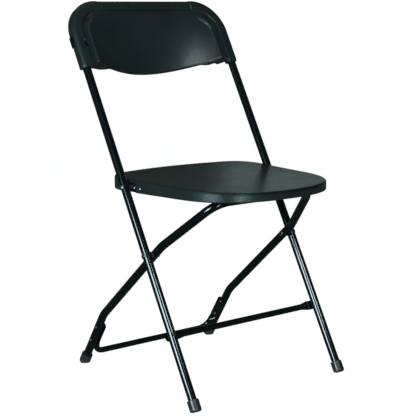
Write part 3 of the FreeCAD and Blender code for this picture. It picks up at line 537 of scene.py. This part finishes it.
def skin(points, faces, places, rows, low, top, level, flip):
    """A curved skin of columns; flip turns its faces over."""
    start = len(points)
    for x in places:
        bottom, ceiling = low(x), top(x)
        for share in rows:
            along = mix(bottom, ceiling, share)
            points.append(on_frame(x, along, level(x, along)))
    height = len(rows)
    for column in range(len(places) - 1):
        first = start + column * height
        for row in range(height - 1):
            quad = (first + row, first + height + row, first + height + row + 1, first + row + 1)
            faces.append(quad if flip else quad[::-1])


def rim_path(steps):
    """Places and outward directions along the tube inside the rim."""
    low = BACK_LOW - HOUSING_DROP
    path = [((-TUBE_HALF, low), (-1.0, 0.0))]
    bend = TUBE_HALF - BEND_CENTRE[0]
    for side in (-1, 1):
        turns = range(steps + 1) if side < 0 else range(steps, -1, -1)
        for turn in turns:
            angle = math.pi / 2 * turn / steps
            out = (side * math.cos(angle), math.sin(angle))
            path.append(((side * BEND_CENTRE[0] + bend * out[0], BEND_CENTRE[1] + bend * out[1]), out))
    path.append(((TUBE_HALF, low), (1.0, 0.0)))
    return path


def rim_rear_profile():
    """The rear of the rim's section: its walls, and the bore that holds the tube."""
    wall = RIM_RADIUS - (TUBE_HALF - BEND_CENTRE[0])
    outer = [(wall, RIM_BACK + RIM_EDGE), (wall - RIM_EDGE, RIM_BACK)]
    inner = [(BORE + RIM_EDGE, RIM_BACK), (BORE, RIM_BACK + RIM_EDGE)]
    profile = [(wall, RIM_FACE - RIM_FILLET)] + outer + inner
    for turn in range(0, 181, ROUND_TURN):
        angle = math.radians(turn)
        profile.append((BORE * math.cos(angle), BORE * math.sin(angle)))
    profile += [(-out, ahead) for out, ahead in reversed(outer + inner)]
    profile.append((-wall, RIM_FACE - PANEL_WALL))
    return profile


def add_rim_rear(points, faces):
    """Sweep the rear of the rim round the frame."""
    path, profile = rim_path(RIM_TURNS), rim_rear_profile()
    start = len(points)
    for (x, along), (out_x, out_along) in path:
        for out, ahead in profile:
            points.append(on_frame(x + out * out_x, along + out * out_along, ahead))
    for step in range(len(path) - 1):
        first = start + step * len(profile)
        faces += [quad[::-1] for quad in strip_faces(first, first + len(profile), len(profile))]


def backrest():
    """The moulded back."""
    points, faces = [], []
    places = across_places(RIM_HALF_WIDTH, BACK_STEP, RIM_FILLET)
    skin(points, faces, places, along_shares(BACK_ROWS), back_low_edge, outline_top, front_level, True)
    add_rim_rear(points, faces)
    inner = RIM_HALF_WIDTH - HOUSING_INNER
    rear_places = [inner * step / REAR_COLUMNS for step in range(-REAR_COLUMNS, REAR_COLUMNS + 1)]
    rear_rows = [step / REAR_ROWS for step in range(REAR_ROWS + 1)]

    def rear_level(x, along):
        return front_level(x, along) - PANEL_WALL

    def rear_top(x):
        return outline_top(x, HOUSING_INNER)

    skin(points, faces, rear_places, rear_rows, back_low_edge, rear_top, rear_level, False)
    add_low_edge(points, faces, places)
    piece = new_piece("back_panel", points, faces, LOOKS["moulded_plastic"], "front_frame")
    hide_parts("backrest_shell")


def low_edge_back(x):
    """How far back the underside of the back's lower edge reaches."""
    thin = front_level(x, back_low_edge(x)) - PANEL_WALL
    gusset = smooth(GUSSET_START, GUSSET_FULL, abs(x)) * (1 - smooth(GUSSET_END, HOUSING_WALL, abs(x)))
    return min(thin, mix(thin, GUSSET_BACK, gusset))


def add_low_edge(points, faces, places):
    """The underside of the lower edge, with the gussets beside the housings."""
    start = len(points)
    for x in places:
        low = back_low_edge(x)
        front = front_level(x, low)
        rear = RIM_BACK if abs(x) > HOUSING_WALL else low_edge_back(x)
        high = low + LOW_EDGE_HEIGHT
        section = ((low, front), (low, rear), (high, rear), (high, front - PANEL_WALL / 2))
        points += [on_frame(x, along, ahead) for along, ahead in section]
    corners = len(section)
    for column in range(len(places) - 1):
        first = start + corners * column
        faces += strip_faces(first, first + corners, corners)


# Seat --------------------------------------------------------------------------------------------

def seat_outline(count):
    """The seat's plan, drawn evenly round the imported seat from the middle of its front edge."""
    seat = frame["nodes"]["seat_shell"]
    flat = [vertex.co.xy for vertex in seat.data.vertices]
    corners = [flat[index] for index in geometry.convex_hull_2d(flat)]
    lengths = [(corners[index] - corners[index - 1]).length for index in range(len(corners))]
    total = sum(lengths)
    spaced = []
    index, walked = 0, 0.0
    for step in range(count):
        target = total * step / count
        while walked + lengths[(index + 1) % len(corners)] < target:
            walked += lengths[(index + 1) % len(corners)]
            index += 1
        before, after = corners[index % len(corners)], corners[(index + 1) % len(corners)]
        spaced.append(before.lerp(after, (target - walked) / lengths[(index + 1) % len(corners)]))
    for _ in range(OUTLINE_ROUNDS):
        spaced = [(spaced[i - 1] + spaced[i] * 2 + spaced[(i + 1) % count]) / 4 for i in range(count)]
    return spaced


def with_pocket_corners(outline):
    """The plan with close pairs of points where the bracket pockets and spot faces start and end."""
    spot = SEAT_HINGE.y - SPOT_AHEAD
    pocket = [SEAT_HINGE.y - POCKET_AHEAD, SEAT_HINGE.y + POCKET_BEHIND]
    limits = [spot - SPOT_HALF, spot + SPOT_HALF] + pocket
    marked = []
    for index, point in enumerate(outline):
        marked.append(point)
        after = outline[(index + 1) % len(outline)]
        for limit in limits if after.y >= point.y else reversed(limits):
            share = (limit - point.y) / (after.y - point.y) if after.y != point.y else -1
            if abs(point.x) > SIDE_PLACE and 0 < share < 1:
                marked.append(point.lerp(after, max(0.0, share - CORNER_SHARE)))
                marked.append(point.lerp(after, min(1.0, share + CORNER_SHARE)))
    return marked


def drawn_in(outline, distance):
    """The plan moved inwards by a distance."""
    count = len(outline)
    moved = []
    for index, point in enumerate(outline):
        along = (outline[(index + 2) % count] - outline[index - 2]).normalized()
        moved.append(point + Vector((-along.y, along.x)) * distance)
    return moved


def in_pocket(point):
    """Whether a point of the plan is where a bracket pocket goes."""
    ahead, behind = SEAT_HINGE.y - POCKET_AHEAD, SEAT_HINGE.y + POCKET_BEHIND
    return abs(point.x) > SIDE_PLACE and ahead < point.y < behind


def pocketed(outline, wall):
    """The plan with the bracket pockets pressed into its sides."""
    return [Vector((math.copysign(wall, p.x), p.y)) if in_pocket(p) else p for p in outline]


def spot_faced(outline):
    """The plan pressed in where the bracket's front rivet is spot-faced."""
    spot = SEAT_HINGE.y - SPOT_AHEAD
    faced = []
    for p in outline:
        inside = abs(p.x) > SPOT_FACE and abs(p.y - spot) < SPOT_HALF
        faced.append(Vector((math.copysign(SPOT_FACE, p.x), p.y)) if inside else p)
    return faced


def seat_height(point, rear):
    """The height of the dished pan, for a seat that ends at rear."""
    rise = max(0.0, (point.y - DISH_START) / (rear - DISH_START))
    return PAN_MIDDLE + PAN_REAR_RISE * rise ** 3 + PAN_SIDE_RISE * abs(point.x / SEAT_HALF) ** 3


def skirt_low(point, front, rear):
    """The height of the skirt's lower edge."""
    return mix(SKIRT_LOW_FRONT, SKIRT_LOW_REAR, (point.y - front) / (rear - front))


def ring(plan, height):
    """Points over a plan, each at its own height."""
    return [(p.x, p.y, height(p)) for p in plan]


def pan_rings(outline, middle, top):
    """Rings from the middle of the pan out to its edge, and over the rounded rim."""
    inner = drawn_in(outline, RIM_ROUND)
    rings = []
    for step in range(1, PAN_STEPS + 1):
        rings.append(ring([middle.lerp(p, step / PAN_STEPS) for p in inner], top))
    for turn in range(1, ROUND_STEPS + 1):
        angle = math.pi / 2 * turn / ROUND_STEPS
        drop = RIM_ROUND * (1 - math.cos(angle))
        plan = drawn_in(outline, RIM_ROUND * (1 - math.sin(angle)))
        rings.append(ring(plan, lambda p: top(p) - drop))
    return rings


def skirt_rings(outline, low):
    """Rings down the outside of the skirt, with its pockets and spot faces, and round its lower edge."""
    walls = pocketed(outline, POCKET_WALL)
    faced = spot_faced(walls)
    spot_top, spot_bottom = SPOT_HEIGHT + SPOT_HALF, SPOT_HEIGHT - SPOT_HALF
    level_rings = (
        (outline, PAN_MIDDLE),
        (walls, PAN_MIDDLE - SKIRT_SEAM),
        (walls, spot_top + SPOT_EDGE),
        (faced, spot_top - SPOT_EDGE),
        (faced, spot_bottom + SPOT_EDGE),
        (walls, spot_bottom - SPOT_EDGE),
    )
    rings = [[(p.x, p.y, level) for p in plan] for plan, level in level_rings]
    half = SKIRT_WALL / 2
    for turn in range(ROUND_STEPS + 1):
        angle = math.pi * turn / ROUND_STEPS
        inset, rise = half * (1 - math.cos(angle)), half * (1 - math.sin(angle))
        plan = pocketed(drawn_in(outline, inset), POCKET_WALL - inset)
        rings.append(ring(plan, lambda p: low(p) + rise))
    return rings


def under_rings(outline, middle, top):
    """Rings up the inside of the skirt, and in to the middle of the underside."""
    inside = pocketed(drawn_in(outline, SKIRT_WALL), POCKET_WALL - SKIRT_WALL)
    under = drawn_in(inside, SKIRT_CORNER)
    rings = [ring(inside, lambda p: top(p) - PAN_WALL - SKIRT_TOP)]
    for step in range(UNDER_STEPS, 0, -1):
        plan = [middle.lerp(p, step / UNDER_STEPS) for p in under]
        rings.append(ring(plan, lambda p: top(p) - PAN_WALL))
    return rings


def seat_pan():
    """The moulded seat, as rings from the middle of its top, over its rim and skirt, to its underside."""
    outline = with_pocket_corners(seat_outline(OUTLINE_POINTS))
    front, rear = min(p.y for p in outline), max(p.y for p in outline)
    middle = Vector((0, (front + rear) / 2))

    def top(p):
        return seat_height(p, rear)

    def low(p):
        return skirt_low(p, front, rear)

    rings = pan_rings(outline, middle, top) + skirt_rings(outline, low) + under_rings(outline, middle, top)
    count = len(outline)
    points = [point for row in rings for point in row]
    faces = []
    for index in range(len(rings) - 1):
        faces += [quad[::-1] for quad in strip_faces(index * count, (index + 1) * count, count, True)]
    top_middle, under_middle = len(points), len(points) + 1
    points.append((middle.x, middle.y, top(middle)))
    points.append((middle.x, middle.y, top(middle) - PAN_WALL))
    last = (len(rings) - 1) * count
    for step in range(count):
        after = (step + 1) % count
        faces.append((top_middle, step, after))
        faces.append((under_middle, last + after, last + step))
    look = LOOKS["moulded_plastic"]
    piece = new_piece("seat_pan", points, faces, look, "seat", SEAT_SHARP)
    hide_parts("seat_shell")


def rib(points, faces, path, across):
    """A drafted rib under the pan along a path; across is the direction of its width."""
    start = len(points)
    narrow = RIB_HALF * RIB_DRAFT
    for place in path:
        roof = seat_height(place, RIB_DISH_REAR) - PAN_WALL + RIB_LAP
        section = ((RIB_HALF, roof), (narrow, RIB_LOW), (-narrow, RIB_LOW), (-RIB_HALF, roof))
        for offset, height in section:
            side = place + across * offset
            points.append((side.x, side.y, height))
    corners = len(section)
    last = start + corners * (len(path) - 1)
    for first in range(start, last, corners):
        faces += strip_faces(first, first + corners, corners, True)
    faces.append(tuple(range(start, start + corners)))
    faces.append(tuple(range(last + corners - 1, last - 1, -1)))


def seat_ribs():
    """Stiffening ribs under the pan, left open over the slide rails."""
    outline = seat_outline(OUTLINE_POINTS)
    points, faces = [], []
    for x in RIBS_ALONG:
        ends = [p.y for p in outline if abs(p.x - x) < OUTLINE_NEAR]
        low, high = min(ends) + SKIRT_WALL, max(ends) - SKIRT_WALL
        shares = [step / RIB_STEPS_ALONG for step in range(RIB_STEPS_ALONG + 1)]
        rib(points, faces, [Vector((x, mix(low, high, share))) for share in shares], Vector((-1, 0)))
    inner, outer = RIB_RAIL_ENDS
    for y in RIBS_ACROSS:
        reach = max(p.x for p in outline if abs(p.y - y) < OUTLINE_NEAR) - SKIRT_WALL
        shares = [step / RIB_STEPS_ACROSS for step in range(RIB_STEPS_ACROSS + 1)]
        for start, end in ((-reach, -outer), (-inner, inner), (outer, reach)):
            rib(points, faces, [Vector((mix(start, end, share), y)) for share in shares], Vector((0, 1)))
    piece = new_piece("seat_ribs", points, faces, LOOKS["moulded_plastic"], "seat")
    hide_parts("seat_shell")


# Studio ------------------------------------------------------------------------------------------

def floor():
    """A wide pale floor, flat round the chair and curved up into a high rim far from it."""
    rings, count = [], FLOOR_SIDES
    for step in range(FLOOR_STEPS + 1):
        share = step / FLOOR_STEPS
        rings.append((FLOOR_FLAT + FLOOR_CURVE * share, FLOOR_RIM * share ** 2))
    points, faces = [(0, 0, 0)], []
    for reach, height in rings:
        for turn in range(count):
            angle = 2 * math.pi * turn / count
            points.append((reach * math.cos(angle), reach * math.sin(angle), height))
    for turn in range(count):
        faces.append((0, 1 + turn, 1 + (turn + 1) % count))
    for index in range(len(rings) - 1):
        first = 1 + index * count
        faces += [quad[::-1] for quad in strip_faces(first, first + count, count, True)]
    mesh = bpy.data.meshes.new("studio_floor")
    mesh.from_pydata(points, [], faces)
    mesh.shade_smooth()
    material = bpy.data.materials.new("pale_floor")
    material.use_nodes = True
    principled = material.node_tree.nodes["Principled BSDF"]
    principled.inputs["Base Color"].default_value = (FLOOR_GREY, FLOOR_GREY, FLOOR_GREY, 1)
    principled.inputs["Roughness"].default_value = 0.9
    principled.inputs["Specular IOR Level"].default_value = 0.0
    principled.inputs["Emission Color"].default_value = (1.0, 1.0, 1.0, 1)
    principled.inputs["Emission Strength"].default_value = FLOOR_GLOW
    mesh.materials.append(material)
    ground = bpy.data.objects.new("studio_floor", mesh)
    ground.visible_glossy = False
    bpy.context.scene.collection.objects.link(ground)


def soft_box(name, location, size, radiance, colour, target):
    """A soft box that faces a target; radiance is how bright it looks."""
    light = bpy.data.lights.new(name, "AREA")
    light.shape = "RECTANGLE"
    light.size, light.size_y = size
    light.energy = radiance * math.pi * size[0] * size[1]
    light.color = colour
    lamp = bpy.data.objects.new(name, light)
    lamp.location = location
    lamp.rotation_mode = "QUATERNION"
    lamp.rotation_quaternion = (Vector(target) - Vector(location)).to_track_quat("-Z", "Y")
    lamp.visible_camera = False
    bpy.context.scene.collection.objects.link(lamp)


def studio():
    """The floor, the soft boxes, and a world that is bright behind the chair but hardly lights it."""
    floor()
    for box in SOFT_BOXES:
        soft_box(*box)
    world = bpy.data.worlds.new("studio")
    bpy.context.scene.world = world
    world.use_nodes = True
    tree = world.node_tree
    background = tree.nodes["Background"]
    background.inputs["Color"].default_value = (*WORLD_COLOUR, 1)
    seen = tree.nodes.new("ShaderNodeLightPath").outputs["Is Camera Ray"]
    strength = ranged(tree, seen, WORLD_ON_CHAIR, WORLD_IN_VIEW, 0.0, 1.0)
    tree.links.new(strength, background.inputs["Strength"])


def camera():
    """A long lens ahead of the chair and to the sitter's right, level with its top and looking down."""
    data = bpy.data.cameras.new("camera")
    data.lens = CAMERA_LENS
    data.sensor_width = CAMERA_SENSOR
    lens = bpy.data.objects.new("camera", data)
    azimuth, elevation = math.radians(CAMERA_AZIMUTH), math.radians(CAMERA_ELEVATION)
    back = Vector((
        math.sin(azimuth) * math.cos(elevation),
        -math.cos(azimuth) * math.cos(elevation),
        math.sin(elevation),
    ))
    lens.location = CAMERA_PLACE
    lens.rotation_mode = "QUATERNION"
    lens.rotation_quaternion = (-back).to_track_quat("-Z", "Y")
    bpy.context.scene.collection.objects.link(lens)
    bpy.context.scene.camera = lens


finish_nodes()
backrest()
seat_pan()
seat_ribs()
studio()
camera()
bpy.context.scene.view_settings.view_transform = "Standard"
